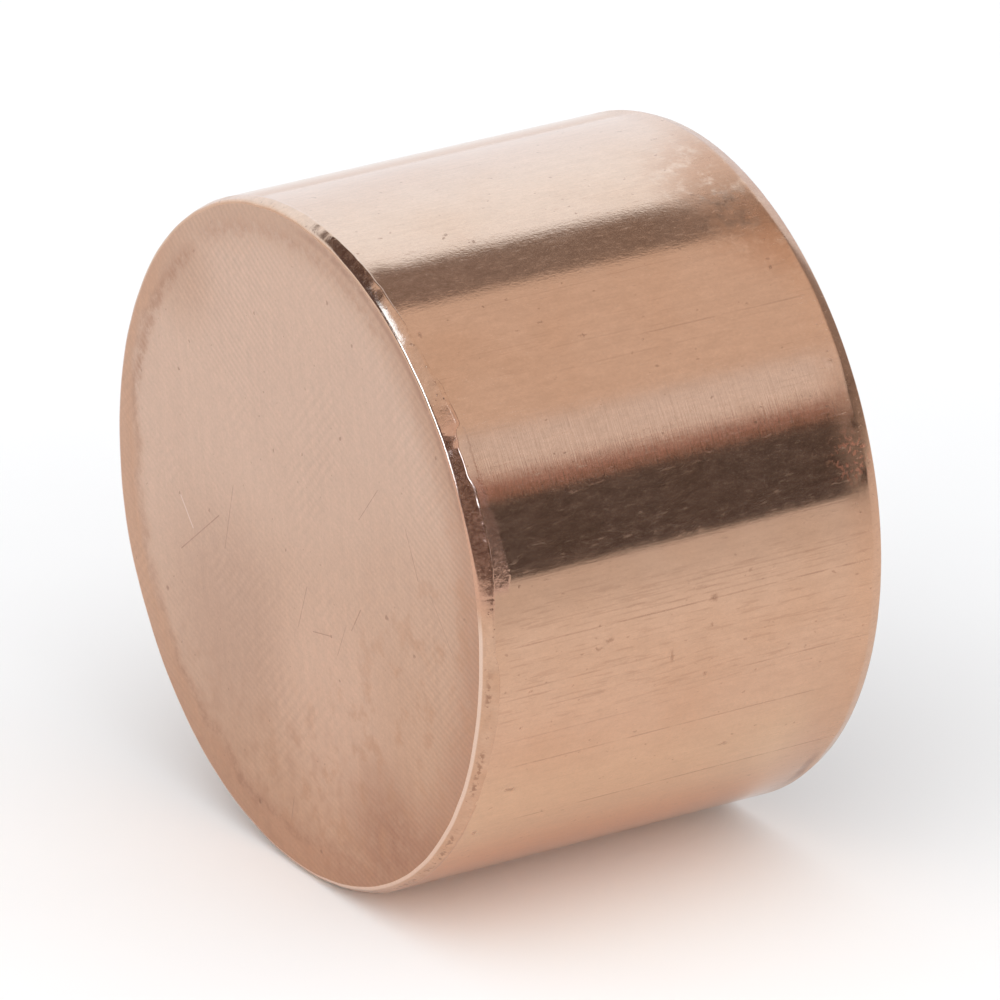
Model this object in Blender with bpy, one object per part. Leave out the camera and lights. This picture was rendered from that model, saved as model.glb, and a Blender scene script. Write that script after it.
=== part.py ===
"""Copper pipe cap for 54 mm (2 in nominal) tube, a fabricated solder-socket fitting.

The cap lies on its side: its axis is +Y, from the stop face out of the mouth, and +Z is up.
The origin is the centre of the stop face, where the end of the tube comes to rest.
Four separate pieces are brazed together: a socket sleeve, an end plate that stands proud of it,
the corner bead round the outside of the plate and the root fillet round the inside.
"""

import math

import bmesh
import bpy
from mathutils import Vector

MM = 0.001

# Driving dimensions, in metres.
SOCKET_BORE = 54.1 * MM        # inside diameter, a slip fit for the tube's end
WALL = 1.8 * MM                # thickness of the sleeve
SOCKET_DEPTH = 34.6 * MM       # from the stop face to the mouth
PLATE_THICKNESS = 3.2 * MM     # thickness of the end plate
PLATE_STANDOUT = 1.6 * MM      # how far the plate stands out of the sleeve's closed end
JOINT_GAP = 0.3 * MM           # clearance that the braze metal fills

# Edges.
PLATE_FACE_BEVEL = 0.7 * MM    # narrowing of the plate towards its outer face
PLATE_ROOT_BEVEL = 1.0 * MM    # chamfer round the plate's inner face
CORNER_RADIAL = 0.75 * MM      # dressed corner of the bead, across the face
CORNER_AXIAL = 0.85 * MM       # dressed corner of the bead, along the wall
MOUTH_RADIAL = 0.43 * MM       # outer chamfer of the mouth, across the rim
MOUTH_AXIAL = 1.0 * MM         # outer chamfer of the mouth, along the wall
MOUTH_LEAD_IN = 0.35 * MM      # inner chamfer of the mouth

SEGMENTS = 96                  # facets round the axis
SHARP_ANGLE = math.radians(25)

# Derived radii and stations along the axis.
BORE_RADIUS = SOCKET_BORE / 2
OUTER_RADIUS = BORE_RADIUS + WALL
PLATE_RADIUS = BORE_RADIUS - JOINT_GAP
FACE_STATION = -PLATE_THICKNESS
SLEEVE_END_STATION = FACE_STATION + PLATE_STANDOUT
BEAD_END_STATION = SLEEVE_END_STATION - JOINT_GAP

COPPER = (0.72, 0.45, 0.33)
COPPER_FACE = (0.74, 0.50, 0.39)
COPPER_BRAZED = (0.60, 0.34, 0.24)


def clear_scene():
    """Remove every object that a new file starts with."""
    for item in list(bpy.data.objects):
        bpy.data.objects.remove(item, do_unlink=True)


def metal(name, colour, roughness):
    """A bare metal finish."""
    material = bpy.data.materials.new(name)
    material.use_nodes = True
    shader = material.node_tree.nodes["Principled BSDF"]
    shader.inputs["Base Color"].default_value = (*colour, 1.0)
    shader.inputs["Metallic"].default_value = 1.0
    shader.inputs["Roughness"].default_value = roughness
    material.diffuse_color = (*colour, 1.0)
    return material


def turn(name, section, material, closed):
    """Turn a section of (radius, station) points about the Y axis into a solid.

    A closed section makes a ring. An open one makes a band whose two ends are then
    covered with flat faces, which makes a disc.
    """
    mesh = bpy.data.meshes.new(name)
    shape = bmesh.new()
    points = [shape.verts.new((radius, station, 0.0)) for radius, station in section]
    edges = [shape.edges.new(pair) for pair in zip(points, points[1:])]
    if closed:
        edges.append(shape.edges.new((points[-1], points[0])))
    bmesh.ops.spin(
        shape,
        geom=points + edges,
        cent=Vector((0.0, 0.0, 0.0)),
        axis=Vector((0.0, 1.0, 0.0)),
        angle=math.tau,
        steps=SEGMENTS,
        use_merge=True,
    )
    if not closed:
        rims = [edge for edge in shape.edges if edge.is_boundary]
        bmesh.ops.holes_fill(shape, edges=rims, sides=0)
    bmesh.ops.recalc_face_normals(shape, faces=shape.faces)
    shape.to_mesh(mesh)
    shape.free()
    mesh.materials.append(material)
    mesh.shade_smooth()
    mesh.set_sharp_from_angle(angle=SHARP_ANGLE)
    piece = bpy.data.objects.new(name, mesh)
    bpy.context.scene.collection.objects.link(piece)
    return piece


def make_socket_sleeve():
    """The tube wall: a plain bore with a chamfered mouth, cut square at the closed end."""
    section = [
        (BORE_RADIUS, SLEEVE_END_STATION),
        (OUTER_RADIUS, SLEEVE_END_STATION),
        (OUTER_RADIUS, SOCKET_DEPTH - MOUTH_AXIAL),
        (OUTER_RADIUS - MOUTH_RADIAL, SOCKET_DEPTH),
        (BORE_RADIUS + MOUTH_LEAD_IN, SOCKET_DEPTH),
        (BORE_RADIUS, SOCKET_DEPTH - MOUTH_LEAD_IN),
    ]
    return turn("socket_sleeve", section, metal("sleeve_copper", COPPER, 0.28), closed=True)


def make_end_plate():
    """The closing disc, set in the bore with its outer part proud of the sleeve's end."""
    section = [
        (PLATE_RADIUS - PLATE_FACE_BEVEL, FACE_STATION),
        (PLATE_RADIUS, BEAD_END_STATION),
        (PLATE_RADIUS, -PLATE_ROOT_BEVEL),
        (PLATE_RADIUS - PLATE_ROOT_BEVEL, 0.0),
    ]
    return turn("end_plate", section, metal("plate_copper", COPPER_FACE, 0.42), closed=False)


def make_corner_bead():
    """Braze metal round the proud edge of the plate, dressed flush with face and wall."""
    section = [
        (BORE_RADIUS - PLATE_FACE_BEVEL, FACE_STATION),
        (OUTER_RADIUS - CORNER_RADIAL, FACE_STATION),
        (OUTER_RADIUS, FACE_STATION + CORNER_AXIAL),
        (OUTER_RADIUS, BEAD_END_STATION),
        (BORE_RADIUS, BEAD_END_STATION),
    ]
    return turn("corner_bead", section, metal("bead_copper", COPPER_BRAZED, 0.24), closed=True)


def make_root_fillet():
    """Braze metal in the chamfer round the plate's inner face, flush with the stop."""
    leg = PLATE_ROOT_BEVEL - JOINT_GAP
    section = [
        (PLATE_RADIUS, -leg),
        (PLATE_RADIUS, 0.0),
        (PLATE_RADIUS - leg, 0.0),
    ]
    return turn("root_fillet", section, metal("fillet_copper", COPPER_BRAZED, 0.40), closed=True)


def main():
    clear_scene()
    make_socket_sleeve()
    make_end_plate()
    make_corner_bead()
    make_root_fillet()


main()
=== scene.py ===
import math
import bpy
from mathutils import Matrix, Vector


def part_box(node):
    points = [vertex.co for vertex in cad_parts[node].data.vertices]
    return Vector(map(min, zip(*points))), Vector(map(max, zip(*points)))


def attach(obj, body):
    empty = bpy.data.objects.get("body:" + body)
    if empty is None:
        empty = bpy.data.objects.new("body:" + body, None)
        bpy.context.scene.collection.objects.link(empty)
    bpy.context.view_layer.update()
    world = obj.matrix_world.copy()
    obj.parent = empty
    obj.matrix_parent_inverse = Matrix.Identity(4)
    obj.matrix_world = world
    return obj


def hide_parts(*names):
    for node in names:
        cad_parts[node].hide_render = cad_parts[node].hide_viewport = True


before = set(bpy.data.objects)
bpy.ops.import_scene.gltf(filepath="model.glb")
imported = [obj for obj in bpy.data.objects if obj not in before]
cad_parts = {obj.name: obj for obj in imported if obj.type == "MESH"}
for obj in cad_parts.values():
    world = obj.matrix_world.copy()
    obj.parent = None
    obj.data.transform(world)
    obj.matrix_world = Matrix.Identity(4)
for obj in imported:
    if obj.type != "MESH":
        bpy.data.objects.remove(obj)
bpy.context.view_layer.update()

from types import SimpleNamespace

import bpy
import numpy as np
from mathutils import Matrix, Vector

MM = 0.001
BRAZE_GAP = 0.3 * MM           # film of braze metal between plate and sleeve

# Radii and stations that the frame gives. The axis is +Y, and +Z is up.
plate_low, plate_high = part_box("end_plate")
sleeve_low, sleeve_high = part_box("socket_sleeve")
OUTER = (sleeve_high[0] - sleeve_low[0]) / 2
PLATE = (plate_high[0] - plate_low[0]) / 2
BORE = PLATE + BRAZE_GAP
FACE = plate_low[1]
STOP = plate_high[1]
MOUTH = sleeve_high[1]
MIDDLE = (FACE + MOUTH) / 2
FLOOR = -OUTER

# Edges of the visible pieces.
WALL = OUTER - 0.02 * MM       # mean radius of the drawn wall, just inside the CAD's
SEAM = PLATE - 0.45 * MM       # where the plate meets the bead, dressed flush
SEAM_LAP = 0.03 * MM           # how far the bead reaches under the plate's edge
EDGE_ZONE = 3.4 * MM           # width of the worn zone round the face
RIM_AXIAL = 1.15 * MM          # outer chamfer of the mouth
RIM_RADIAL = 0.45 * MM
LEAD_IN = 0.35 * MM            # inner chamfer of the mouth

# Points round the turn. Each piece has fewer than 200,000 triangles.
SLEEVE_POINTS = 1040
BEAD_POINTS = 1800
PLATE_POINTS = 720
ROOT_POINTS = 720

# How far inside the wall the face's crest lies, by angle from +X towards +Z (degrees, mm).
CREST_INSET = (
    (-180, 0.26), (-120, 0.38), (-90, 0.46), (-45, 0.62), (0, 0.80), (50, 0.80), (72, 0.62),
    (90, 0.48), (135, 0.34),
)
# How far the bead laps onto the wall from the face, in the same way (degrees, mm).
# Smooth at the top, torn between 50 and 25 degrees, stepped near 0, fading below.
LIP_REACH = (
    (-150, 1.05), (-60, 1.00), (-22, 1.12), (-8, 1.30), (-4, 1.31), (-1.5, 1.24), (1.5, 0.90),
    (5, 0.88), (10, 1.08), (16, 1.34), (26, 1.33), (29, 1.28), (31, 0.92), (35.5, 0.86),
    (38.4, 1.12), (39.3, 1.66), (40.4, 1.60), (43, 1.40), (46, 1.33), (50, 1.00), (62, 0.92),
    (100, 0.92), (150, 1.00),
)
# How far the bead's torn edge stands over the wall, in the same way (degrees, mm).
LIP_HEIGHT = (
    (-150, 0.02), (-60, 0.01), (-20, 0.01), (-9, 0.03), (-2, 0.05), (2, 0.02), (12, 0.02),
    (17, 0.01), (22, 0.03), (28, 0.07), (36, 0.07), (38.4, 0.06), (39.6, 0.02), (45, 0.025), (50, 0.02),
    (53, 0.004), (58, 0.004), (62, 0.018), (77, 0.018), (82, 0.005), (110, 0.005), (150, 0.02),
)
# The same edge in section: share of its height, mm beyond its reach.
LIP_PROFILE = ((0.78, -0.08), (0.94, -0.03), (1.0, 0.01), (0.75, 0.035), (0.3, 0.055), (0.0, 0.065))
# The bead's crest in section: mm outward from it, mm behind the face's edge.
CREST_PROFILE = ((-0.12, 0.007), (-0.05, 0.026), (0.01, 0.056), (0.07, 0.098), (0.13, 0.150))
# Cracks across the bead: angle, width in degrees, depth in mm.
BEAD_CRACKS = (
    (11.2, 0.35, 0.010), (9.7, 0.35, 0.010), (1.7, 0.40, 0.02), (-19.0, 0.5, 0.04),
    (-27.0, 0.5, 0.05), (134.0, 0.5, 0.05), (201.0, 0.6, 0.06), (287.0, 0.5, 0.05),
)
# The mouth's outer chamfer in section: share of RIM_AXIAL back, share of RIM_RADIAL inward.
RIM_PROFILE = (
    (1.0, 0.0), (0.93, 0.02), (0.80, 0.12), (0.55, 0.36), (0.30, 0.62), (0.10, 0.86), (0.03, 0.95),
    (0.0, 1.06),
)
# The mouth's inner chamfer in section: share of LEAD_IN outward, mm back.
LEAD_PROFILE = ((1.5, 0.0), (1.0, 0.01), (0.8, 0.06), (0.15, 0.30), (0.0, 0.42))

# Metals, as linear colours.
COPPER = (0.610, 0.378, 0.258)
COPPER_WARM = (0.560, 0.320, 0.200)
COPPER_STAIN = (0.250, 0.120, 0.075)
# The wall's tints: its own colours, and painted light and shade.
WALL_SCORCHED = (0.52, 0.29, 0.21)
# Painted light: lighter on the lower wall, where it mirrors the floor, and warmer lowest down.
WALL_PAINTED_LIGHT = (0.665, 0.443, 0.297)
WALL_PAINTED_LIGHT_LOW = (0.680, 0.365, 0.205)
# Painted shade: darker and redder at the top of the wall by the mouth.
WALL_PAINTED_SHADE_TOP = (0.455, 0.22, 0.12)
WALL_RIM = (0.45, 0.25, 0.16)
# Painted shade: darker by the mouth, on the side towards +X.
WALL_SHADED = (0.50, 0.275, 0.175)
WALL_RED = (0.62, 0.24, 0.15)
# The face's tints: its own colours, and painted shade and light.
FACE_PALE = (0.630, 0.427, 0.322)
# Painted shade: browner towards the bottom, where the face mirrors the floor's shadow.
FACE_PAINTED_SHADE = (0.565, 0.345, 0.230)
# Painted shade: darker at the lower left of the face.
FACE_PAINTED_SHADE_LEFT = (0.500, 0.312, 0.224)
# Painted light: lighter below the middle of the face.
FACE_PAINTED_GLOW = (0.700, 0.463, 0.345)
FACE_RIGHT = (0.475, 0.257, 0.165)
FACE_CORNER = (0.385, 0.190, 0.118)
FACE_TOP = (0.500, 0.300, 0.200)
FACE_TARNISH = (0.500, 0.270, 0.160)
FACE_SEAM = (0.36, 0.19, 0.13)
FACE_WORN = (0.545, 0.310, 0.198)
FACE_STAIN = (0.385, 0.200, 0.125)
FACE_LOW_SPOTS = (0.40, 0.21, 0.13)
FACE_SCRATCH = (0.80, 0.66, 0.58)
# The braze metal's tints: its own colours, and a painted highlight.
BEAD_TORN = (0.58, 0.30, 0.21)
BEAD_WORN = (0.47, 0.27, 0.175)
# Painted highlight: pale along the lower part of the bead's crest.
BEAD_PAINTED_HIGHLIGHT = (0.78, 0.58, 0.47)
ROOT_DARK = (0.42, 0.22, 0.15)

# What the metal mirrors, as linear colours. Right is +X, and the front is -Y.
GAP_LEFT = (0.31, 0.285, 0.28)
GAP_RIGHT = (0.112, 0.106, 0.112)
GAP_FRONT = (0.145, 0.115, 0.118)
CEILING = (0.90, 0.84, 0.80)
CEILING_EDGE = (0.48, 0.32, 0.29)
CEILING_FRONT = (0.90, 0.87, 0.86)
STRIP_FRONT = (0.70, 0.70, 0.74)
STRIP_BACK = (1.16, 1.26, 1.38)
SOFTBOX_LOW = (1.19, 1.33, 1.46)
SOFTBOX_HIGH = (1.345, 1.71, 2.07)
LAMP = (5.5, 8.5, 12.0)
LAMP_HIGH = (2.2, 3.4, 4.8)
BACKDROP = (0.97, 0.97, 0.97)

# The camera looks at the closed face and at one side, from a long way off.
CAMERA_AZIMUTH = math.radians(57.88)
CAMERA_ELEVATION = math.radians(22.94)
CAMERA_DISTANCE = 32.97 * OUTER
CAMERA_LENS = 420.1
CAMERA_SENSOR = 36.0
CAMERA_NEAR = 0.05
CAMERA_FAR = 50.0
AIM_RIGHT = 0.0150 * OUTER
AIM_UP = -0.0036 * OUTER


def make_camera():
    """A long lens at the photograph's angle, with the cap filling the picture."""
    sin_a, cos_a = math.sin(CAMERA_AZIMUTH), math.cos(CAMERA_AZIMUTH)
    sin_e, cos_e = math.sin(CAMERA_ELEVATION), math.cos(CAMERA_ELEVATION)
    back = Vector((sin_a * cos_e, -cos_a * cos_e, sin_e))
    right = Vector((cos_a, sin_a, 0.0))
    up = back.cross(right)
    data = bpy.data.cameras.new("camera")
    data.sensor_width = CAMERA_SENSOR
    data.lens = CAMERA_LENS
    data.clip_start = CAMERA_NEAR
    data.clip_end = CAMERA_FAR
    camera = bpy.data.objects.new("camera", data)
    aim = Vector((0.0, MIDDLE, 0.0)) + right * AIM_RIGHT + up * AIM_UP
    turn = Matrix((right, up, back)).transposed().to_4x4()
    camera.matrix_world = Matrix.Translation(aim + back * CAMERA_DISTANCE) @ turn
    bpy.context.scene.collection.objects.link(camera)
    bpy.context.scene.camera = camera


# ---------------------------------------------------------------- shader nodes


class Shader:
    """Short names for the nodes that the metals and the studio are made of."""

    # Sockets of the mix node that carry colours.
    MIX_A = 6
    MIX_B = 7
    MIX_RESULT = 2

    def __init__(self, tree):
        self.tree = tree

    def node(self, kind, **settings):
        made = self.tree.nodes.new(kind)
        for key, value in settings.items():
            setattr(made, key, value)
        return made

    def put(self, socket, value):
        if isinstance(value, bpy.types.NodeSocket):
            self.tree.links.new(value, socket)
        else:
            socket.default_value = value

    def math(self, operation, a, b=0.0):
        made = self.node("ShaderNodeMath", operation=operation)
        self.put(made.inputs[0], a)
        self.put(made.inputs[1], b)
        return made.outputs[0]

    def times(self, *factors):
        result = factors[0]
        for factor in factors[1:]:
            result = self.math("MULTIPLY", result, factor)
        return result

    def plus(self, *terms):
        result = terms[0]
        for term in terms[1:]:
            result = self.math("ADD", result, term)
        return result

    def most(self, *values):
        result = values[0]
        for value in values[1:]:
            result = self.math("MAXIMUM", result, value)
        return result

    def vector(self, operation, a, b):
        made = self.node("ShaderNodeVectorMath", operation=operation)
        self.put(made.inputs[0], a)
        self.put(made.inputs[1], b)
        gives_number = operation in ("DOT_PRODUCT", "DISTANCE", "LENGTH")
        return made.outputs["Value" if gives_number else "Vector"]

    def dot(self, vector, direction):
        return self.vector("DOT_PRODUCT", vector, direction)

    def length(self, vector):
        return self.vector("LENGTH", vector, (0.0, 0.0, 0.0))

    def disc(self, vector, centre, outside, inside):
        """1 within the inside distance of a point, falling to 0 at the outside distance."""
        return self.step(self.vector("DISTANCE", vector, centre), outside, inside)

    def place(self):
        """Where the surface is, in millimetres."""
        return self.vector("MULTIPLY", self.node("ShaderNodeTexCoord").outputs["Object"], (1000.0,) * 3)

    def split(self, vector):
        made = self.node("ShaderNodeSeparateXYZ")
        self.put(made.inputs[0], vector)
        return made.outputs[:3]

    def join(self, x, y, z):
        made = self.node("ShaderNodeCombineXYZ")
        for socket, value in zip(made.inputs, (x, y, z)):
            self.put(socket, value)
        return made.outputs[0]

    def noise(self, place, scale, detail=2.0, rough=0.5):
        """Noise from 0 to 1 with a mean of one half. scale is waves per mm, one number or three."""
        scales = scale if isinstance(scale, tuple) else (scale,) * 3
        made = self.node("ShaderNodeTexNoise")
        self.put(made.inputs["Vector"], self.vector("MULTIPLY", place, scales))
        made.inputs["Scale"].default_value = 1.0
        made.inputs["Detail"].default_value = detail
        made.inputs["Roughness"].default_value = rough
        return made.outputs["Fac"]

    def noise_colour(self, place, scale):
        """Three separate noises, as one vector."""
        made = self.node("ShaderNodeTexNoise")
        self.put(made.inputs["Vector"], place)
        made.inputs["Scale"].default_value = scale
        made.inputs["Detail"].default_value = 1.0
        return made.outputs["Color"]

    def step(self, value, low, high, to_low=0.0, to_high=1.0):
        """A smooth step from to_low at low to to_high at high. low may be the larger."""
        made = self.node("ShaderNodeMapRange", interpolation_type="SMOOTHSTEP")
        if low > high:
            low, high, to_low, to_high = high, low, to_high, to_low
        self.put(made.inputs["Value"], value)
        made.inputs["From Min"].default_value = low
        made.inputs["From Max"].default_value = high
        made.inputs["To Min"].default_value = to_low
        made.inputs["To Max"].default_value = to_high
        return made.outputs["Result"]

    def band(self, value, low, high, soft):
        """1 between low and high, fading over soft at both ends."""
        rise = self.step(value, low - soft, low + soft)
        fall = self.step(value, high + soft, high - soft)
        return self.times(rise, fall)

    def mix(self, share, a, b):
        made = self.node("ShaderNodeMix", data_type="RGBA")
        self.put(made.inputs["Factor"], share)
        for index, value in ((self.MIX_A, a), (self.MIX_B, b)):
            self.put(made.inputs[index], value if isinstance(value, bpy.types.NodeSocket) else (*value, 1.0))
        return made.outputs[self.MIX_RESULT]

    def layered(self, colour, *layers):
        """The colour with tints laid over it one by one: each layer is a share and a tint."""
        for share, tint in layers:
            colour = self.mix(share, colour, tint)
        return colour

    def shade(self, colour, factor):
        """The colour, times a grey factor."""
        made = self.node("ShaderNodeMix", data_type="RGBA", blend_type="MULTIPLY")
        made.inputs["Factor"].default_value = 1.0
        self.put(made.inputs[self.MIX_A], colour)
        self.put(made.inputs[self.MIX_B], self.join(factor, factor, factor))
        return made.outputs[self.MIX_RESULT]

    def varied(self, colour, *noises):
        """The colour, darker and lighter by noises: value, its low and high, darkest and lightest."""
        for value, low, high, darkest, lightest in noises:
            colour = self.shade(colour, self.step(value, low, high, darkest, lightest))
        return colour

    def bump(self, height, depth_mm=1.0):
        """Relief of that depth where height runs from 0 to 1."""
        made = self.node("ShaderNodeBump")
        made.inputs["Strength"].default_value = 1.0
        made.inputs["Distance"].default_value = depth_mm * MM
        self.put(made.inputs["Height"], height)
        return made.outputs["Normal"]


def metal(name):
    """A bare metal material, its shader node and the maker of its other nodes."""
    material = bpy.data.materials.new(name)
    material.use_nodes = True
    shader = material.node_tree.nodes["Principled BSDF"]
    shader.inputs["Metallic"].default_value = 1.0
    return material, shader, Shader(material.node_tree)


def finish_metal(s, shader, colour, roughness, normal, haze=None):
    """Connect the metal's looks. haze is the share of light that oxide scatters."""
    s.put(shader.inputs["Base Color"], colour)
    s.put(shader.inputs["Roughness"], roughness)
    s.put(shader.inputs["Normal"], normal)
    if haze is not None:
        s.put(shader.inputs["Metallic"], s.plus(1.0, s.times(haze, -1.0)))


# ---------------------------------------------------------------- metals

# Draw lines along the wall: angle in degrees, from and to in mm from the face, strength.
DRAW_LINES = (
    (7.2, 9, 34, 0.25), (6.3, 12, 35, 0.3), (5.4, 6, 33, 0.3), (4.5, 9, 34, 0.35), (3.5, 12, 33, 0.3),
    (2.3, 3, 36, 0.75), (-5.2, 2, 12, 0.5), (-6.7, 2, 7, 0.4), (-9.3, 2, 11, 0.5),
    (-11.4, 25, 36, 0.6), (-14.8, 2, 14, 0.3), (-20.4, 4, 33, 0.65), (-34.4, 4, 36, 0.75),
    (46.8, 20, 36, 0.5), (44.0, 11, 25, 0.25), (48.0, 11, 20, 0.2), (58.0, 3, 20, 0.15),
)
# Dark nicks on the wall: angle in degrees, mm from the face, half length along and half width, mm.
WALL_NICKS = (
    (77.1, 4.2, 0.35, 0.15), (74.2, 9.4, 0.40, 0.14), (73.5, 9.0, 0.18, 0.18), (71.2, 11.1, 0.28, 0.22),
    (48.8, 15.3, 0.60, 0.10), (45.8, 20.3, 0.20, 0.15), (52.8, 34.1, 0.22, 0.20), (52.8, 12.2, 0.35, 0.12),
    (55.5, 1.7, 0.24, 0.42), (-6.0, 17.6, 0.22, 0.75), (2.4, 21.5, 0.45, 0.45), (-0.4, 11.6, 0.55, 0.25),
    (-1.4, 10.5, 0.40, 0.22), (-6.0, 4.3, 0.25, 0.20), (-12.3, 3.7, 0.22, 0.18), (-35.7, 2.3, 0.30, 0.35),
    (-25.7, 4.0, 0.75, 0.35), (-11.0, 21.0, 0.30, 0.25), (-28.0, 24.6, 0.60, 0.22),
)


def wall_marks(s, place):
    """Masks of the named draw lines and of the named nicks."""
    x, y, z = s.split(place)
    ragged = s.vector("SUBTRACT", s.noise_colour(place, 2.5), (0.5, 0.5, 0.5))
    ragged = s.vector("MULTIPLY", ragged, (0.5, 0.5, 0.0))
    round_mm = s.times(s.math("ARCTAN2", z, x), OUTER / MM)
    from_face = s.plus(y, -FACE / MM)
    waver = s.times(s.plus(s.noise(place, (0.2, 0.15, 0.2)), -0.5), 0.1)
    breaks = s.step(s.noise(place, (1.5, 0.4, 1.5), 3.0), 0.30, 0.55)
    lines = []
    for degrees, start, end, strength in DRAW_LINES:
        off = s.math("ABSOLUTE", s.plus(round_mm, waver, -math.radians(degrees) * OUTER / MM))
        lines.append(s.times(s.step(off, 0.10, 0.03), s.band(from_face, start, end, 1.5), strength))
    flat = s.vector("ADD", s.join(round_mm, from_face, 0.0), ragged)
    nicks = []
    for degrees, station, length, width in WALL_NICKS:
        off = s.vector("SUBTRACT", flat, (math.radians(degrees) * OUTER / MM, station, 0.0))
        off = s.vector("MULTIPLY", off, (1.0 / width, 1.0 / length, 1.0))
        nicks.append(s.step(s.length(off), 1.1, 0.25))
    return s.times(s.most(*lines), breaks), s.most(*nicks)


def wall_noises(s, place):
    """The noises that the wall's colour, polish and relief share."""
    return SimpleNamespace(
        cloud=s.noise(place, 0.12, 3.0),
        streaks=s.noise(place, (3.0, 0.06, 3.0), 4.0, 0.6),
        mottle=s.noise(place, (1.4, 0.55, 1.4), 5.0, 0.7),
        grain=s.noise(place, (5.0, 3.0, 5.0), 2.0, 0.6),
        specks=s.step(s.noise(place, (2.0, 1.3, 2.0), 2.0), 0.70, 0.75),
        scuffs=s.step(s.noise(place, (3.2, 0.7, 3.2), 4.0, 0.65), 0.56, 0.74),
    )


def wall_zones(s, place):
    """Masks of the wall's tinted and worn zones, most of them beside the bead and at the mouth. Some are
    painted light and shade: the lighter lower wall, the darker top by the mouth and the shaded band by the
    mouth.
    """
    x, y, z = s.split(place)
    from_mouth = s.plus(MOUTH / MM, s.times(y, -1.0))
    from_face = s.plus(y, -FACE / MM)
    beside = s.plus(from_face, s.noise(place, 1.1, 3.0), s.step(z, 8.0, 15.0, 0.0, 0.65))
    scorched = s.times(s.step(beside, 3.35, 3.05), s.step(z, 5.5, 6.3), s.step(z, 15.5, 13.0))
    scorched = s.times(scorched, s.step(x, 15.0, 18.0))
    # Painted shade at the top of the wall by the mouth, in blotches; the same patch is also duller.
    painted_shade_top = s.disc(place, (10.0, MOUTH / MM + 1.5, 26.5), 13.0, 5.0)
    painted_shade_top = s.times(painted_shade_top, s.step(s.noise(place, 0.6, 5.0, 0.7), 0.28, 0.56))
    mouth = s.times(s.step(from_mouth, 4.2, 1.6), s.step(s.noise(place, 0.5, 4.0, 0.6), 0.25, 0.50))
    dent_off = s.plus(from_mouth, -1.9, s.times(s.plus(s.noise(place, 0.4), -0.5), 0.8))
    dent = s.times(s.step(s.math("ABSOLUTE", dent_off), 0.65, 0.15), s.band(z, -22.6, -18.6, 1.2))
    below = s.dot(place, (0.40, 0.0, -0.92))
    # Painted light on the lower wall, away from the mouth, where it mirrors the floor; warmer lowest down.
    painted_light = s.times(s.step(below, 18.0, 24.5), s.step(from_mouth, 3.0, 8.0))
    red = s.disc(place, (27.2, MOUTH / MM - 2.4, 9.6), 3.0, 1.0)
    return SimpleNamespace(
        scorched=scorched,
        granular=s.times(scorched, s.step(z, 11.5, 9.5)),
        painted_shade_top=painted_shade_top,
        mouth=mouth,
        rim=s.times(s.step(from_mouth, 1.25, 1.05), s.step(z, 10.0, 14.0)),
        dent=s.times(dent, s.step(x, 15.0, 17.0)),
        dull=s.most(s.times(mouth, 0.75), painted_shade_top, s.times(scorched, 0.45)),
        painted_light=painted_light,
        painted_light_low=s.times(painted_light, s.step(below, 25.0, 28.2)),
        # Painted shade by the mouth, on the side towards +X.
        shaded=s.times(s.step(from_mouth, 6.0, 1.5), s.band(z, 2.0, 18.0, 4.0), s.step(x, 10.0, 14.0)),
        red=s.times(red, s.step(s.noise(place, 2.6, 2.0), 0.54, 0.60)),
        peened=s.step(s.dot(place, (0.26, 0.0, 0.966)), 26.6, 28.4),
        turned=s.times(s.step(s.dot(place, (0.84, 0.0, 0.545)), 27.6, 28.6), s.step(beside, 2.9, 3.2)),
    )


def wall_colour(s, place, noises, zones, lines, nicks):
    """Copper with the zones' tints, the streaks and speckle of drawing, and the marks on top."""
    x, _, z = s.split(place)
    colour = s.layered(
        COPPER,
        (s.step(noises.cloud, 0.42, 0.72, 0.0, 0.35), COPPER_WARM),
        (s.times(zones.mouth, 0.45), COPPER_WARM),
        (s.times(zones.scorched, 0.75), WALL_SCORCHED),
        # Painted light on the lower wall, warmer lowest down.
        (zones.painted_light, WALL_PAINTED_LIGHT),
        (zones.painted_light_low, WALL_PAINTED_LIGHT_LOW),
        (s.times(zones.dent, 0.55), COPPER_STAIN),
        # Painted shade at the top of the wall by the mouth.
        (s.times(zones.painted_shade_top, 0.9), WALL_PAINTED_SHADE_TOP),
        (s.times(zones.rim, 0.6), WALL_RIM),
        # Painted shade by the mouth.
        (s.times(zones.shaded, 0.32), WALL_SHADED),
    )
    colour = s.varied(
        colour,
        (noises.streaks, 0.25, 0.75, 0.975, 1.02),
        (noises.mottle, 0.25, 0.75, 0.955, 1.035),
        (noises.grain, 0.25, 0.75, 0.97, 1.03),
    )
    fine_lines = s.step(s.noise(place, (6.0, 0.09, 6.0), 2.0), 0.62, 0.74)
    dashes = s.step(s.noise(place, (3.5, 0.30, 3.5), 3.0, 0.6), 0.54, 0.66)
    dashes = s.times(dashes, s.band(z, -7.0, 5.0, 2.0), s.step(x, 20.0, 25.0))
    return s.layered(
        colour,
        (s.times(fine_lines, s.step(noises.cloud, 0.40, 0.55), 0.16), COPPER_STAIN),
        (s.times(lines, 0.50), COPPER_STAIN),
        (s.times(nicks, 0.38), COPPER_STAIN),
        (s.times(noises.specks, 0.35), COPPER_STAIN),
        (s.times(dashes, 0.19), COPPER_STAIN),
        (s.times(zones.red, 0.7), WALL_RED),
    )


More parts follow.
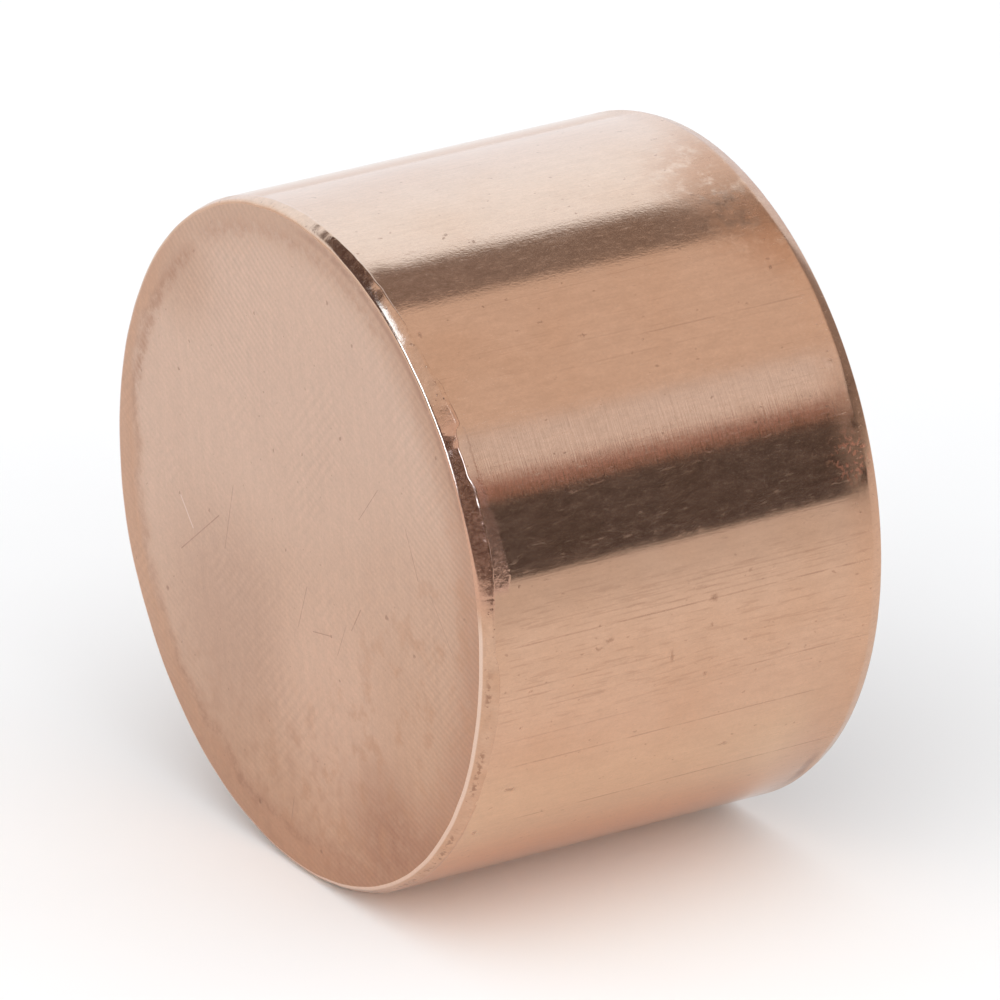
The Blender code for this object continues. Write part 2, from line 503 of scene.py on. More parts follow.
def wall_haze(s, place, noises, zones, lines):
    """Share of light that oxide and scuffs scatter, so that the dark bands are not clean."""
    specks = s.step(s.noise(place, (7.0, 4.5, 7.0), 3.0, 0.7), 0.46, 0.72, 0.0, 0.06)
    sparks = s.step(s.noise(place, (4.0, 2.5, 4.0), 3.0, 0.65), 0.50, 0.68)
    lumps = s.step(s.noise(place, 2.2, 3.0, 0.6), 0.50, 0.62)
    haze = s.plus(s.times(zones.dull, 0.17), s.times(noises.scuffs, 0.085), s.times(lines, 0.1))
    haze = s.plus(haze, s.step(noises.mottle, 0.35, 0.75, 0.0, 0.03), s.times(zones.red, 0.15), specks)
    return s.plus(haze, s.times(sparks, zones.peened, 0.09), s.times(lumps, zones.granular, 0.14))


def wall_relief(s, place, noises, zones, marks):
    """Turning marks, drawn streaks, peening, and the marks and granules, in mm."""
    turning = s.noise(place, (0.10, 2.6, 0.10), 4.0, 0.8)
    granules = s.times(s.noise(place, 1.8, 3.0, 0.6), zones.granular)
    return s.plus(
        s.times(turning, zones.turned, 0.017),
        s.times(noises.streaks, 0.0015),
        s.times(noises.grain, 0.0010),
        s.times(noises.mottle, s.plus(s.times(zones.peened, 0.004), 0.001)),
        s.times(noises.grain, zones.peened, 0.004),
        s.times(marks, -0.003),
        s.times(granules, 0.035),
    )


def make_wall_metal():
    """Drawn tube: bright, with long lines along it and fine turning marks round it."""
    material, shader, s = metal("drawn_copper")
    place = s.place()
    lines, nicks = wall_marks(s, place)
    noises = wall_noises(s, place)
    zones = wall_zones(s, place)
    marks = s.most(nicks, lines)
    colour = wall_colour(s, place, noises, zones, lines, nicks)
    roughness = s.plus(
        0.085,
        s.step(noises.mottle, 0.3, 0.8, 0.0, 0.04),
        s.times(zones.dull, 0.15),
        s.times(noises.scuffs, 0.12),
        s.times(marks, 0.2),
        s.times(noises.specks, 0.08),
    )
    relief = s.bump(wall_relief(s, place, noises, zones, marks))
    finish_metal(s, shader, colour, roughness, relief, wall_haze(s, place, noises, zones, lines))
    return material


# Scratches on the face: from and to as (across, up) in mm, width in mm, dark or bright.
FACE_SCRATCHES = (
    ((-18.3, -2.0), (-16.4, -4.2), 0.09, False),
    ((-12.2, -1.6), (-18.3, -6.7), 0.07, True),
    ((-9.9, 1.9), (-11.3, -4.2), 0.06, True),
    ((9.9, -1.9), (8.5, -4.2), 0.08, True),
    ((7.6, -4.2), (6.3, -7.2), 0.05, True),
    ((1.6, -2.9), (0.2, -6.9), 0.06, True),
    ((16.8, 7.6), (18.7, 3.8), 0.07, True),
    ((20.6, 3.2), (24.0, -0.8), 0.05, True),
    ((5.3, -5.9), (2.5, -6.5), 0.06, True),
    ((-0.6, -22.3), (-1.1, -24.8), 0.06, True),
    ((12.6, 9.5), (9.7, 5.9), 0.05, True),
)
# Pits in the face: across, up, radius, mm.
FACE_PITS = (
    (5.0, 23.0, 0.22), (8.8, 20.6, 0.15), (-6.3, 18.2, 0.14), (6.9, 11.9, 0.17), (21.4, 15.4, 0.18),
    (-16.7, 12.2, 0.13), (-18.4, 9.2, 0.14), (-3.5, 7.2, 0.13), (-18.5, -1.8, 0.12), (5.3, -5.9, 0.16),
    (6.6, -9.3, 0.14), (-20.6, -11.1, 0.22), (-1.7, -0.9, 0.12), (13.9, -1.1, 0.25), (18.1, -2.9, 0.2),
    (-6.0, -24.8, 0.20), (3.6, -25.6, 0.18), (-10.9, -16.6, 0.12),
)
# Cutter marks to a millimetre, across and up, at the middle of the face.
CUTTER_STEP = (0.706, 0.0, 1.623)


def segment_mask(s, flat, start, end, width):
    """1 along a straight mark on the face, fading at its sides."""
    a = Vector((start[0], 0.0, start[1]))
    run = Vector((end[0], 0.0, end[1])) - a
    off = s.vector("SUBTRACT", flat, tuple(a))
    share = s.math("MINIMUM", s.math("MAXIMUM", s.dot(off, tuple(run / run.length_squared)), 0.0), 1.0)
    nearest = s.vector("MULTIPLY", s.join(share, share, share), tuple(run))
    return s.step(s.vector("DISTANCE", off, nearest), width, width * 0.25)


def face_marks(s, flat):
    """Masks of the face's dark marks and of its bright ones."""
    dark = []
    bright = []
    for start, end, width, is_dark in FACE_SCRATCHES:
        marks = dark if is_dark else bright
        marks.append(segment_mask(s, flat, start, end, width))
    dark = s.times(s.most(*dark), s.step(s.noise(flat, 1.2, 2.0), 0.25, 0.55, 0.3, 1.0))
    ragged = s.vector("SUBTRACT", s.noise_colour(flat, 2.5), (0.5, 0.5, 0.5))
    ragged = s.vector("MULTIPLY", ragged, (0.4, 0.0, 0.4))
    bent = s.vector("ADD", flat, ragged)
    pits = []
    for across, up, radius in FACE_PITS:
        pits.append(s.disc(bent, (across, 0.0, up), radius * 1.2, radius * 0.5))
    return s.most(dark, *pits), s.most(*bright)


def cutter_marks(s, flat):
    """The cutter's arcs across the face, from about -1 to 1, and the weaker marks that cross them."""
    x, _, z = s.split(flat)
    bend = s.plus(s.times(x, z, 0.00555), s.times(x, x, -0.00132), s.times(z, z, -0.00414))
    sweep = s.plus(s.dot(flat, CUTTER_STEP), bend, s.times(s.noise(flat, 0.3, 2.0), 0.5))
    wave = s.math("SINE", s.times(sweep, math.tau))
    along = s.join(s.dot(flat, (0.92, 0.0, -0.40)), 0.0, s.dot(flat, (0.40, 0.0, 0.92)))
    along = s.noise(along, (0.12, 1.0, 0.9), 2.0)
    strength = s.step(s.noise(flat, 0.10, 2.0), 0.40, 0.60, 0.15, 0.45)
    right = s.step(s.dot(flat, (0.9, 0.0, -0.3)), 2.0, 20.0)
    right = s.times(s.step(s.length(flat), 14.0, 27.0), right, 0.8)
    upper_left = s.times(s.disc(flat, (-11.0, 0.0, 21.0), 13.0, 3.0), 0.8)
    strength = s.plus(strength, s.most(right, upper_left))
    strength = s.times(strength, s.step(along, 0.3, 0.6, 0.4, 1.0))
    arcs = s.times(wave, strength)
    cross = s.plus(s.dot(flat, (-0.74, 0.0, 0.67)), s.times(s.noise(flat, 0.2, 2.0), 0.8))
    cross = s.math("SINE", s.times(cross, math.tau / 0.85))
    cross = s.times(cross, s.step(s.noise(s.vector("ADD", flat, (31.0, 7.0, 0.0)), 0.10, 2.0), 0.52, 0.68))
    return arcs, cross


def face_tints(s, spot, mottle, cloud):
    """The plate's colour: paler at the top left, browner at the bottom and right, in soft patches. The
    browner bottom, a darker patch at the lower left and a lighter one below the middle are painted shade and
    light.
    """
    # Painted shade: browner towards the bottom and right.
    low = s.step(s.plus(s.dot(spot.flat, (0.40, 0.0, -0.92)), s.times(cloud, 10.0)), -8.0, 27.0)
    outward = s.plus(spot.radius, s.times(mottle, 5.0))
    right = s.times(s.step(outward, 25.5, 30.5), s.step(spot.x, 10.0, 20.0))
    right = s.times(right, s.step(spot.z, 14.0, -2.0, 0.6, 1.0))
    corner = s.disc(spot.flat, (14.5, 0.0, -21.0), 9.5, 1.0)
    corner = s.most(corner, s.times(s.step(outward, 26.0, 29.5), s.step(spot.z, -14.0, -20.0), 0.8))
    corner = s.times(corner, s.step(mottle, 0.35, 0.60, 0.55, 1.0))
    top = s.times(s.step(outward, 26.0, 30.5), s.step(spot.z, 8.0, 16.0))
    top = s.most(top, s.disc(spot.flat, (-18.5, 0.0, 19.0), 8.0, 2.0))
    tarnish = s.step(s.noise(spot.flat, 0.33, 4.0, 0.65), 0.50, 0.66)
    tarnish = s.times(tarnish, s.step(s.dot(spot.flat, (0.70, 0.0, -0.71)), 4.0, 18.0))
    return s.layered(
        FACE_PALE,
        # Painted shade: browner towards the bottom and right.
        (low, FACE_PAINTED_SHADE),
        # Painted shade: darker at the lower left.
        (s.times(s.disc(spot.flat, (-11.0, 0.0, -10.0), 13.0, 3.0), 0.55), FACE_PAINTED_SHADE_LEFT),
        # Painted light: lighter below the middle.
        (s.times(s.disc(spot.flat, (5.0, 0.0, -12.0), 13.0, 3.0), 0.45), FACE_PAINTED_GLOW),
        (s.times(right, 0.85), FACE_RIGHT),
        (s.times(corner, 0.85), FACE_CORNER),
        (s.times(top, 0.55), FACE_TOP),
        (s.times(tarnish, 0.5), FACE_TARNISH),
    )


def face_edge(s, spot, mottle, arcs, colour):
    """The colour with the worn edge over it, and the dark stains where the cutter's arcs run out."""
    seam = s.times(s.band(spot.radius, 27.3, 27.9, 0.25), s.step(mottle, 0.30, 0.55))
    seam = s.times(seam, s.step(spot.z, 8.0, 14.0), s.step(spot.x, -2.0, 4.0))
    # The worn zone has a ragged inner border.
    inner = s.plus(s.times(s.noise(spot.flat, 0.22, 4.0, 0.6), 4.0), s.step(spot.z, -4.0, 12.0, 23.3, 24.6))
    past = s.math("SUBTRACT", spot.radius, inner)
    side = s.step(s.dot(spot.flat, (-0.87, 0.0, -0.50)), 2.0, 14.0)
    worn = s.times(s.step(past, -1.3, 1.0), side)
    border = s.times(s.band(past, -0.5, 0.35, 0.35), side, s.step(mottle, 0.40, 0.60))
    # The stains are at the upper left and at the top.
    near_edge = s.plus(spot.radius, s.times(s.plus(mottle, -0.5), 1.6))
    left = s.times(s.band(near_edge, 25.4, 26.6, 0.7), s.step(spot.x, -14.5, -18.0), s.step(spot.z, 1.0, 7.0))
    top = s.times(s.band(near_edge, 25.9, 27.0, 0.8), s.step(spot.z, 21.0, 23.5), 0.55)
    stains = s.times(s.most(left, top), s.step(arcs, -0.8, 0.6, 0.35, 1.0), s.step(mottle, 0.32, 0.60))
    return s.layered(
        colour,
        (s.times(seam, 0.55), FACE_SEAM),
        (s.times(worn, 0.85), FACE_WORN),
        (s.times(border, 0.24), COPPER_STAIN),
        (s.times(stains, 0.85), FACE_STAIN),
    )


def make_face_metal():
    """Faced plate: satin, with cutter marks in wide arcs, stains and scratches."""
    material, shader, s = metal("faced_copper")
    place = s.place()
    flat = s.vector("MULTIPLY", place, (1.0, 0.0, 1.0))
    x, _, z = s.split(place)
    spot = SimpleNamespace(flat=flat, x=x, z=z, radius=s.length(flat))
    arcs, cross = cutter_marks(s, flat)
    dark, bright = face_marks(s, flat)
    cloud = s.noise(flat, 0.07, 5.0, 0.6)
    mottle = s.noise(flat, 0.9, 5.0, 0.7)
    brush = s.noise(s.join(s.plus(x, s.times(z, 0.18)), 0.0, s.times(z, 0.06)), 1.4, 3.0, 0.6)
    grain = s.noise(flat, 4.0, 2.0, 0.6)
    specks = s.step(s.noise(flat, 1.5, 2.0), 0.70, 0.75)
    lower = s.times(s.step(z, -10.0, -19.0), s.step(s.noise(flat, 0.5, 5.0, 0.7), 0.46, 0.66))
    colour = s.varied(
        face_edge(s, spot, mottle, arcs, face_tints(s, spot, mottle, cloud)),
        (arcs, -1.0, 1.0, 0.955, 1.035),
        (cross, -1.0, 1.0, 0.975, 1.02),
        (brush, 0.25, 0.75, 0.975, 1.02),
        (mottle, 0.25, 0.75, 0.94, 1.05),
        (grain, 0.25, 0.75, 0.955, 1.035),
    )
    colour = s.layered(
        colour,
        (s.times(lower, 0.28), FACE_LOW_SPOTS),
        (s.times(specks, 0.35), COPPER_STAIN),
        (s.times(dark, 0.50), COPPER_STAIN),
        (s.times(bright, 0.7), FACE_SCRATCH),
    )
    roughness = s.plus(0.37, s.step(cloud, 0.3, 0.7, -0.04, 0.05), s.step(mottle, 0.3, 0.7, -0.02, 0.03))
    relief = s.plus(
        s.times(arcs, 0.0022),
        s.times(cross, 0.0014),
        s.times(brush, 0.0010),
        s.times(grain, 0.0012),
        s.times(s.most(specks, dark), -0.010),
    )
    finish_metal(s, shader, colour, roughness, s.bump(relief))
    return material


def bead_zones(s, place):
    """Masks of the bead's torn part, of its chain of pits, of its dull part and of the painted highlight
    along its crest.
    """
    x, y, z = s.split(place)
    from_face = s.plus(y, -FACE / MM)
    broken = s.times(s.step(s.noise(place, 2.4, 3.0), 0.50, 0.58), s.step(s.noise(place, 0.25), 0.40, 0.52))
    chain = s.times(s.band(from_face, 0.40, 0.75, 0.12), s.step(z, 1.0, -3.0), broken)
    return SimpleNamespace(
        torn=s.times(s.step(x, 20.0, 23.0), s.step(z, 3.0, 6.0)),
        chain=chain,
        worn=s.times(s.step(s.noise(place, 0.9, 4.0, 0.6), 0.40, 0.62), s.step(z, 4.0, -2.0)),
        # Painted highlight along the crest, low on the bead.
        crest=s.times(s.step(from_face, 0.20, 0.10), s.step(z, 5.0, 2.0)),
    )


def make_bead_metal():
    """Dressed braze metal: bright, with sanding marks across it, pits and dull patches."""
    material, shader, s = metal("dressed_copper")
    place = s.place()
    zones = bead_zones(s, place)
    cloud = s.noise(place, 0.35, 3.0)
    mottle = s.noise(place, 1.8, 4.0, 0.65)
    sanding = s.noise(place, (5.0, 0.6, 5.0), 3.0, 0.6)
    grain = s.noise(place, 4.5, 3.0, 0.6)
    pits = s.step(s.noise(place, 2.6, 2.0), 0.66, 0.74)
    scorch = s.step(s.noise(place, 4.0, 3.0, 0.6), 0.40, 0.65, 0.02, 0.12)
    colour = s.varied(
        s.mix(s.step(cloud, 0.40, 0.75, 0.0, 0.6), COPPER, COPPER_WARM),
        (sanding, 0.2, 0.8, 0.93, 1.05),
        (mottle, 0.25, 0.75, 0.92, 1.05),
    )
    colour = s.layered(
        colour,
        (s.times(pits, 0.45), COPPER_STAIN),
        (s.times(zones.torn, 0.5), BEAD_TORN),
        (s.times(zones.chain, 0.65), COPPER_STAIN),
        (s.times(zones.worn, 0.35), BEAD_WORN),
        # Painted highlight along the crest.
        (s.times(zones.crest, 0.8), BEAD_PAINTED_HIGHLIGHT),
    )
    roughness = s.plus(0.09, s.step(mottle, 0.3, 0.7, 0.0, 0.07), s.times(pits, 0.1))
    haze = s.plus(s.step(mottle, 0.40, 0.70, 0.01, 0.08), s.times(pits, 0.05), s.times(zones.torn, scorch))
    relief = s.plus(
        s.times(sanding, 0.0025),
        s.times(mottle, 0.0050),
        s.times(grain, 0.0050),
        s.times(pits, -0.006),
        s.times(zones.chain, -0.008),
    )
    finish_metal(s, shader, colour, roughness, s.bump(relief), haze)
    return material


def make_root_metal():
    """Braze metal as it flowed: dull, dark and a little lumpy."""
    material, shader, s = metal("flowed_copper")
    place = s.place()
    cloud = s.noise(place, 0.5, 4.0, 0.6)
    colour = s.mix(s.step(cloud, 0.3, 0.7), ROOT_DARK, COPPER_WARM)
    roughness = s.step(cloud, 0.3, 0.7, 0.25, 0.5)
    finish_metal(s, shader, colour, roughness, s.bump(s.noise(place, 1.2, 4.0, 0.6), 0.05))
    return material


# ---------------------------------------------------------------- meshes


def even_angles(count):
    return np.linspace(0.0, math.tau, count, endpoint=False)


def wobble(angles, seed, lowest, highest, falloff=1.0):
    """A smooth random line round the cap, about 1 high, with lowest to highest waves a turn."""
    draw = np.random.default_rng(seed)
    line = np.zeros_like(angles)
    power = 0.0
    for waves in range(lowest, highest + 1):
        size = (waves / lowest) ** -falloff
        line += size * np.sin(waves * angles + draw.uniform(0.0, math.tau))
        power += size * size / 2
    return line / math.sqrt(power)


def smooth(low, high, value):
    """A smooth step from 0 at low to 1 at high. low may be the larger."""
    t = np.clip((value - low) / (high - low), 0.0, 1.0)
    return t * t * (3.0 - 2.0 * t)


def line_through(points, angles):
    """Values at these angles of a smooth line through (degrees, mm) points round the turn."""
    degrees = np.array([point[0] for point in points], float)
    values = np.array([point[1] for point in points], float) * MM
    return np.interp(np.degrees(angles), degrees, values, period=360.0)


def softened(line, reach):
    """The line with its corners rounded, over reach points each way."""
    weights = np.hanning(2 * reach + 3)[1:-1]
    wide = np.concatenate([line[-reach:], line, line[:reach]])
    return np.convolve(wide, weights / weights.sum(), mode="valid")


def nearness(angles, at_degrees, width_degrees):
    """1 at an angle, falling to 0 over a width, round the turn."""
    off = (np.degrees(angles) - at_degrees + 180.0) % 360.0 - 180.0
    return np.exp(-((off / width_degrees) ** 2))


def turned_mesh(name, columns, angles, is_ring):
    """A mesh through columns of points: (radius, station), each a number or one for each angle.

    A ring's section is a loop. Otherwise the first and last columns are closed with a point
    on the axis, which makes a disc.
    """
    count = len(angles)
    radius = np.stack([np.broadcast_to(column[0], count) for column in columns], axis=1)
    station = np.stack([np.broadcast_to(column[1], count) for column in columns], axis=1)
    along = len(columns)
    x = radius * np.cos(angles)[:, None]
    z = radius * np.sin(angles)[:, None]
    points = np.stack([x, station, z], axis=-1).reshape(-1, 3)
    i = np.arange(count)[:, None]
    j = np.arange(along if is_ring else along - 1)[None, :]
    here = i * along + j
    there = i * along + (j + 1) % along
    beyond = ((i + 1) % count) * along
    quads = np.stack([here, there, beyond + (j + 1) % along, beyond + j], axis=-1).reshape(-1, 4).tolist()
    if not is_ring:
        first = len(points)
        ends = [[0.0, station[:, 0].mean(), 0.0], [0.0, station[:, -1].mean(), 0.0]]
        points = np.concatenate([points, ends])
        for k in range(count):
            after = (k + 1) % count
            quads.append((first, k * along, after * along))
            quads.append((first + 1, after * along + along - 1, k * along + along - 1))
    mesh = bpy.data.meshes.new(name)
    mesh.from_pydata(points.tolist(), [], quads)
    mesh.update()
    return mesh


def add_piece(name, mesh, material, node, sharp_degrees=35.0):
    """Show a mesh in place of a node of the frame, riding with the cap."""
    mesh.materials.append(material)
    mesh.shade_smooth()
    mesh.set_sharp_from_angle(angle=math.radians(sharp_degrees))
    piece = bpy.data.objects.new(name, mesh)
    bpy.context.scene.collection.objects.link(piece)
    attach(piece, "root")
    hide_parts(node)


def crest_radius(angles):
    """Where the face turns into the bead's dressed corner."""
    return OUTER - softened(line_through(CREST_INSET, angles), 6) + 0.03 * MM * wobble(angles, 13, 3, 60, 0.9)


def face_drop(radius, angles):
    """How far the face falls away towards its worn edge, most on the -X side, and its slight dish."""
    least_worn = math.radians(20.0)
    share = 0.45 - 0.40 * np.cos(angles - least_worn)
    share = share * (1.0 + 0.25 * wobble(angles, 3, 3, 12))
    into = np.clip((radius - (OUTER - 0.5 * MM - EDGE_ZONE)) / EDGE_ZONE, 0.0, 1.2)
    dish = 0.02 * MM * np.clip(1.0 - (radius / (0.8 * OUTER)) ** 2, 0.0, 1.0)
    return 0.16 * MM * np.clip(share, 0.04, 1.2) * into**2 + dish


def wall_swell(angles, station):
    """Slow waves of the drawn wall, in and out."""
    along = (station - FACE) / (MOUTH - FACE)
    return 0.006 * MM * (wobble(angles, 5, 3, 9) + wobble(angles, 6, 2, 7) * np.sin(3.0 * along))


def lip_reach(angles):
    """How far the bead laps onto the wall."""
    return softened(line_through(LIP_REACH, angles), 2) + 0.02 * MM * wobble(angles, 11, 30, 160, 0.8)


def wall_radius(angles, station):
    """The drawn wall, a little lower where the bead's dressing touched it, with a dent by the mouth."""
    near_lip = smooth(FACE + 3.0 * MM, FACE + 1.0 * MM, station)
    dent = 0.05 * MM * nearness(angles, -46.0, 2.2) * np.exp(-(((station - MOUTH) / MM + 2.1) / 0.7) ** 2)
    return WALL + wall_swell(angles, station) - 0.015 * MM * near_lip - dent


def sleeve_outside(angles):
    """Columns of the wall, from under the bead's lip to the mouth's chamfer."""
    start = FACE + lip_reach(angles) - 0.10 * MM
    fine_end = FACE + 4.0 * MM
    columns = [(OUTER - 0.6 * MM, start - 0.05 * MM), (OUTER - 0.10 * MM, start - 0.03 * MM)]
    for share in np.linspace(0.0, 1.0, 20):
        station = start + (fine_end - start) * share
        columns.append((wall_radius(angles, station), station))
    stations = np.concatenate([
        np.linspace(FACE + 5.2 * MM, MOUTH - 4.0 * MM, 22),
        np.linspace(MOUTH - 3.4 * MM, MOUTH - RIM_AXIAL - 0.3 * MM, 8),
    ])
    for station in stations:
        columns.append((wall_radius(angles, station), station))
    return columns


def make_sleeve(material):
    """The tube wall, its chamfered mouth and its bore."""
    angles = even_angles(SLEEVE_POINTS)
    columns = sleeve_outside(angles)
    worn = 0.05 * MM * wobble(angles, 8, 4, 40, 0.8)
    swell = wall_swell(angles, MOUTH - RIM_AXIAL)
    for back, inward in RIM_PROFILE:
        radius = WALL + swell * back - RIM_RADIAL * inward
        columns.append((radius, MOUTH - (RIM_AXIAL + worn) * back))
    for outward, back in LEAD_PROFILE:
        columns.append((BORE + LEAD_IN * outward, MOUTH - back * MM))
    for station in np.linspace(MOUTH - 1.2 * MM, STOP + 0.4 * MM, 24):
        columns.append((BORE + 0.5 * wall_swell(angles, station), station))
    # The bore round the plate and the end under the bead, both hidden.
    columns.append((BORE, STOP - 1.5 * MM))
    columns.append((BORE, FACE + 0.9 * MM))
    columns.append((OUTER - 1.3 * MM, FACE + 0.75 * MM))
    mesh = turned_mesh("sleeve_wall", columns, angles, True)
    add_piece("sleeve_wall", mesh, material, "socket_sleeve")


def bead_face(angles, crest):
    """Columns of the face's worn edge, from under the plate's edge to the crest."""
    under = SEAM - SEAM_LAP
    columns = [(under, FACE + face_drop(under, angles) + 0.004 * MM)]
    for share in np.linspace(0.01, 1.0, 10):
        radius = SEAM + (crest - 0.20 * MM - SEAM) * share
        columns.append((radius, FACE + face_drop(radius, angles)))
    return columns


def bead_band(angles, crest, reach, cracks):
    """Columns of the crest, of the sloping band, and of its torn lip on the wall."""
    torn = softened(line_through(LIP_HEIGHT, angles), 3)
    height = torn * (1.0 + 0.2 * wobble(angles, 12, 20, 120, 0.8))
    edge_drop = face_drop(crest, angles)
    columns = []
    for outward, fall in CREST_PROFILE:
        columns.append((crest + outward * MM, FACE + edge_drop + fall * MM))
    start_radius = crest + CREST_PROFILE[-1][0] * MM
    start_fall = edge_drop + CREST_PROFILE[-1][1] * MM
    lip = wall_radius(angles, FACE + reach)
    top = lip + height - torn * 0.5
    band_end = 0.84
    for share in np.linspace(0.08, band_end, 10):
        lump = torn * 0.06 * wobble(angles, 20 + int(share * 11), 20, 90, 0.8) * math.sin(share * math.pi)
        swell = 0.022 * MM * math.sin(share / band_end * math.pi)
        radius = start_radius + (top - start_radius) * share / band_end + lump + swell
        radius = radius - cracks * smooth(0.0, 0.2, share)
        columns.append((radius, FACE + start_fall + (reach - start_fall) * share))
    spread = 1.0 + 1.8 * nearness(angles, 46.0, 4.0)
    for rise, beyond in LIP_PROFILE:
        columns.append((lip + height * rise - cracks, FACE + reach + beyond * spread * MM))
    columns.append((lip - 0.08 * MM, FACE + reach + LIP_PROFILE[-1][1] * spread * MM))
    return columns


def make_bead(material, face_material):
    """The dressed corner: the worn edge of the face, the crest, the sloping band and its torn lip."""
    angles = even_angles(BEAD_POINTS)
    reach = lip_reach(angles)
    crest = crest_radius(angles)
    cracks = sum(depth * MM * nearness(angles, at, width / 2) for at, width, depth in BEAD_CRACKS)
    columns = bead_face(angles, crest)
    face_columns = len(columns) - 1
    columns += bead_band(angles, crest, reach, cracks)
    # The hidden back, between the plate and the sleeve.
    columns.append((OUTER - 0.30 * MM, FACE + reach))
    columns.append((OUTER - 1.20 * MM, FACE + 0.7 * MM))
    columns.append((SEAM - SEAM_LAP, FACE + 0.7 * MM))
    mesh = turned_mesh("bead_ring", columns, angles, True)
    add_piece("bead_ring", mesh, material, "corner_bead", 60.0)
    # The worn edge of the face has the face's metal.
    mesh.materials.append(face_material)
    slots = np.zeros(len(mesh.polygons), np.int32)
    slots.reshape(len(angles), len(columns))[:, :face_columns] = 1
    mesh.polygons.foreach_set("material_index", slots)


def make_plate(material):
    """The end plate: the faced outside and the flat stop inside the socket."""
    angles = even_angles(PLATE_POINTS)
    innermost = 0.4 * MM
    columns = []
    for radius in np.linspace(innermost, SEAM - 0.01 * MM, 56):
        columns.append((radius, FACE + face_drop(radius, angles)))
    columns.append((SEAM, FACE + 0.4 * MM))
    columns.append((PLATE, FACE + 1.2 * MM))
    columns.append((PLATE, STOP - 0.7 * MM))
    columns.append((PLATE - 0.7 * MM, STOP))
    for radius in np.linspace(PLATE - 0.9 * MM, innermost, 24):
        columns.append((radius, STOP))
    mesh = turned_mesh("plate_disc", columns, angles, False)
    add_piece("plate_disc", mesh, material, "end_plate")


def make_root(material):
    """The fillet of braze metal round the plate's inner face."""
    angles = even_angles(ROOT_POINTS)
    lumps = wobble(angles, 31, 6, 90, 0.7)
    leg = (0.55 + 0.08 * lumps) * MM
    columns = [(BORE - 0.02 * MM, STOP - 0.6 * MM), (PLATE - 0.75 * MM, STOP - 0.03 * MM)]
    for share in np.linspace(0.0, 1.0, 7):
        turn = share * math.pi / 2
        inward = leg * (1.0 - math.sin(turn))
        upward = leg * (1.0 - math.cos(turn)) * 0.6
        columns.append((BORE - 0.01 * MM - inward, STOP + 0.01 * MM + upward))
    columns.reverse()
    mesh = turned_mesh("fillet_ring", columns, angles, True)
    add_piece("fillet_ring", mesh, material, "root_fillet")


# ---------------------------------------------------------------- studio


def mirrored_ceiling(s, direction):
    """The ceiling that the metal mirrors, with a warm edge and a strip beside it, and the dark gaps."""
    x, y, _ = s.split(direction)
    gap = s.mix(s.step(x, 0.2, 0.5), GAP_LEFT, GAP_RIGHT)
    gap = s.mix(s.step(y, 0.35, 0.10), gap, GAP_FRONT)
    above = s.dot(direction, (-0.571, 0.303, 0.763))
    strip = s.mix(s.step(y, 0.36, 0.62), STRIP_FRONT, STRIP_BACK)
    tint = s.mix(s.step(above, 0.27, 0.36), strip, CEILING)
    tint = s.mix(s.step(above, 0.045, 0.145), CEILING_EDGE, tint)
    ceiling = s.times(
        s.step(above, -0.030, -0.008),
        s.step(s.dot(direction, (0.974, -0.143, 0.175)), -0.022, 0.008),
        s.step(s.dot(direction, (0.0, -0.573, 0.819)), -0.02, 0.02),
    )
    sky = s.mix(ceiling, gap, tint)
    # In front of the cap the ceiling ends a little higher.
    ahead = s.step(y, 0.10, -0.10)
    front = s.mix(s.step(above, 0.05, 0.08), GAP_FRONT, CEILING_FRONT)
    return s.mix(s.times(ahead, ceiling), sky, front)


def mirrored_lights(s, direction, sky):
    """The sky with a softbox at the back and left, and three lamps."""
    _, y, z = s.split(direction)
    # The softbox is dimmer towards the floor.
    box = s.times(
        s.step(s.dot(direction, (-0.74, 0.365, -0.563)), -0.02, 0.03),
        s.step(s.dot(direction, (-0.966, -0.259, 0.0)), -0.02, 0.02),
    )
    sky = s.mix(box, sky, s.mix(s.step(z, -0.05, 0.60), SOFTBOX_LOW, SOFTBOX_HIGH))
    # A strip lamp in front, a spot at the right, and a spot above the strip.
    across = s.math("ABSOLUTE", s.dot(direction, (-0.678, 0.265, 0.686)))
    upward = s.math("ABSOLUTE", s.dot(direction, (0.731, 0.143, 0.668)))
    strip_lamp = s.times(s.step(across, 0.24, 0.21), s.step(upward, 0.12, 0.09), s.step(y, -0.7, -0.8))
    side_lamp = s.step(s.dot(direction, (0.806, -0.100, 0.582)), 0.972, 0.982)
    high_lamp = s.step(s.dot(direction, (-0.170, -0.720, 0.673)), 0.993, 0.996)
    sky = s.mix(s.most(strip_lamp, s.times(side_lamp, 0.7)), sky, LAMP)
    return s.mix(high_lamp, sky, LAMP_HIGH)


def floor_light(s, direction):
    """Soft light from the front for the floor, with a little warm light from low down."""
    z = s.split(direction)[2]
    front = s.step(s.dot(direction, (0.70, -0.44, 0.56)), -0.35, 0.9, 0.45, 1.58)
    low = s.times(s.step(z, 0.55, 0.10), s.step(s.dot(direction, (0.85, -0.52, 0.0)), 0.1, 0.8))
    red = s.plus(s.times(front, 0.99), s.times(low, 1.30))
    green = s.plus(front, s.times(low, 1.13))
    blue = s.plus(s.times(front, 1.02), s.times(low, 0.85))
    return s.join(red, green, blue)


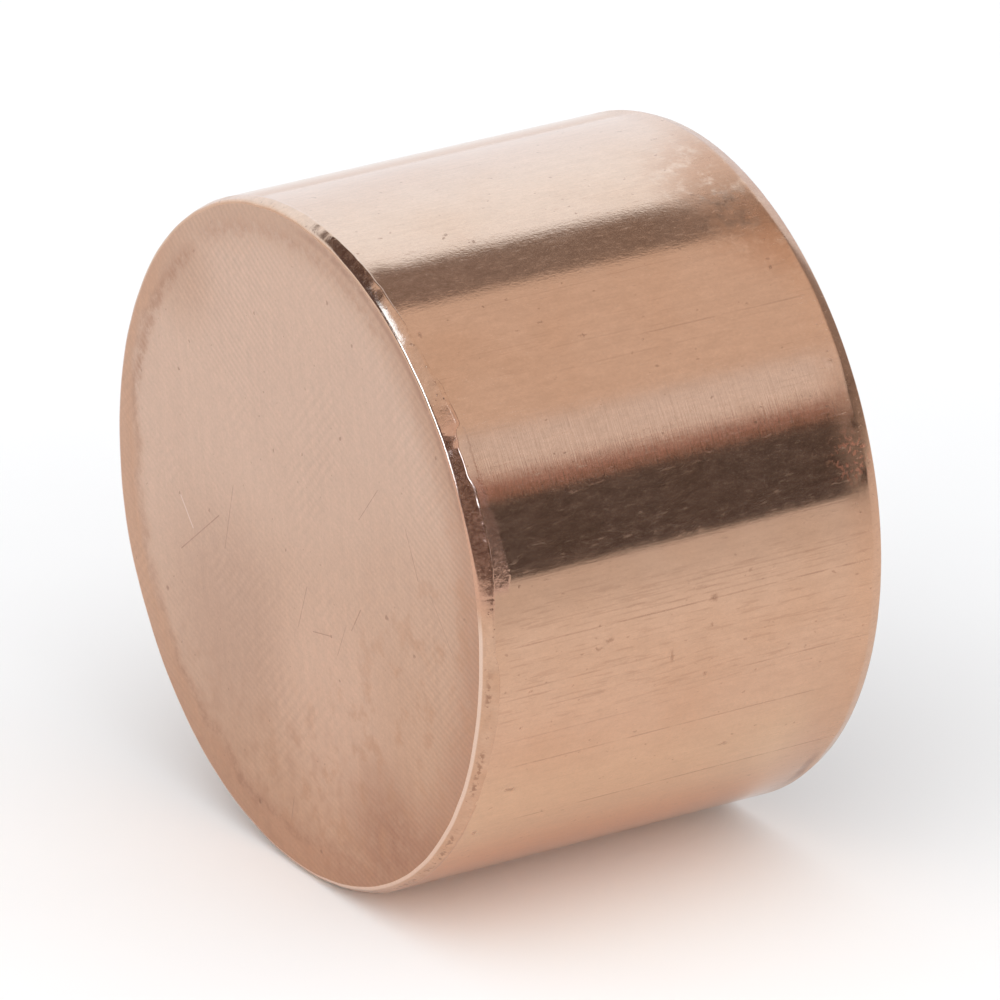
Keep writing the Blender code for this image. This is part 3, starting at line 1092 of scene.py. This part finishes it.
def make_studio_light():
    """The world: a studio for the metal to mirror, soft light for the floor, a white backdrop."""
    world = bpy.data.worlds.new("studio")
    world.use_nodes = True
    bpy.context.scene.world = world
    world.node_tree.nodes.clear()
    s = Shader(world.node_tree)
    direction = s.node("ShaderNodeTexCoord").outputs["Generated"]
    sky = mirrored_lights(s, direction, mirrored_ceiling(s, direction))
    # Every path that has met the floor gets the floor's light, and the camera sees the backdrop.
    path = s.node("ShaderNodeLightPath").outputs
    met_floor = s.step(path["Diffuse Depth"], 0.2, 0.8)
    sky = s.mix(met_floor, sky, floor_light(s, direction))
    sky = s.mix(path["Is Camera Ray"], sky, BACKDROP)
    background = s.node("ShaderNodeBackground")
    s.put(background.inputs["Color"], sky)
    out = s.node("ShaderNodeOutputWorld")
    s.put(out.inputs["Surface"], background.outputs[0])
    world.cycles.sampling_method = "NONE"
    bpy.context.scene.view_settings.view_transform = "Standard"


def make_floor():
    """A plain pale floor that the cap lies on, a little darker at the camera's right: painted shade there,
    for the wall to mirror.
    """
    half = 6.0
    corners = [(-half, -half, FLOOR), (half, -half, FLOOR), (half, half, FLOOR), (-half, half, FLOOR)]
    mesh = bpy.data.meshes.new("floor")
    mesh.from_pydata(corners, [], [(0, 1, 2, 3)])
    material = bpy.data.materials.new("floor")
    material.use_nodes = True
    shader = material.node_tree.nodes["Principled BSDF"]
    s = Shader(material.node_tree)
    place = s.place()
    away = s.dot(place, (0.95, 0.31, 0.0))
    # Painted shade: the floor darker from 60 to 260 mm off to the right.
    pale = s.step(away, 60.0, 260.0, 0.90, 0.74)
    pale = s.plus(pale, s.step(s.noise(place, 0.02, 3.0), 0.3, 0.7, -0.01, 0.01))
    s.put(shader.inputs["Base Color"], s.join(pale, pale, pale))
    shader.inputs["Roughness"].default_value = 1.0
    shader.inputs["Specular IOR Level"].default_value = 0.0
    mesh.materials.append(material)
    floor = bpy.data.objects.new("floor", mesh)
    bpy.context.scene.collection.objects.link(floor)


make_camera()
face_metal = make_face_metal()
make_sleeve(make_wall_metal())
make_bead(make_bead_metal(), face_metal)
make_plate(face_metal)
make_root(make_root_metal())
make_studio_light()
make_floor()
